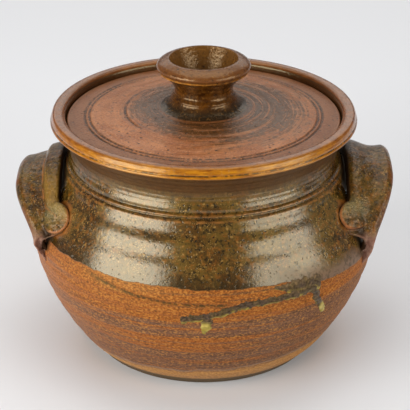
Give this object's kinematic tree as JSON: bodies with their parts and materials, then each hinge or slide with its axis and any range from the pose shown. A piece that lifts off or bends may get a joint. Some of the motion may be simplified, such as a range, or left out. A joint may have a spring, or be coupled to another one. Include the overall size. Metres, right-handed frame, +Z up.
{
  "type": "casserole dish",
  "caption": "Round-bellied stoneware casserole with pulled strap ear handles and a lift-off inset lid that rests on a gallery inside the rim and carries a hollow flared knob.",
  "frame": {"origin": "middle of the foot ring, on the surface that the pot stands on", "axes": "+Z up along the pot's axis, +X through the right handle, and the view of the picture looks along +Y"},
  "size_m": [0.26, 0.242, 0.2083],
  "materials": {
    "pot_stoneware": "olive-brown ash glaze over the upper half, bare orange to purple-brown stoneware below",
    "handle_stoneware": "glossy olive-brown ash glaze, breaking to orange on the edges",
    "lid_stoneware": "thin satin pink-brown glaze with dark glaze pooled round the knob",
    "knob_stoneware": "glossy dark brown and amber glaze"
  },
  "bodies": {
    "pot": {"pot": "pot_stoneware", "left_handle": "handle_stoneware", "right_handle": "handle_stoneware"},
    "lid": {"lid": "lid_stoneware", "lid_knob": "knob_stoneware"}
  },
  "joints": [
    {"name": "lid_lift", "type": "slide", "parent": "pot", "child": "lid", "axis": [0, 0, 1], "range_m": [0, 0.12]}
  ]
}
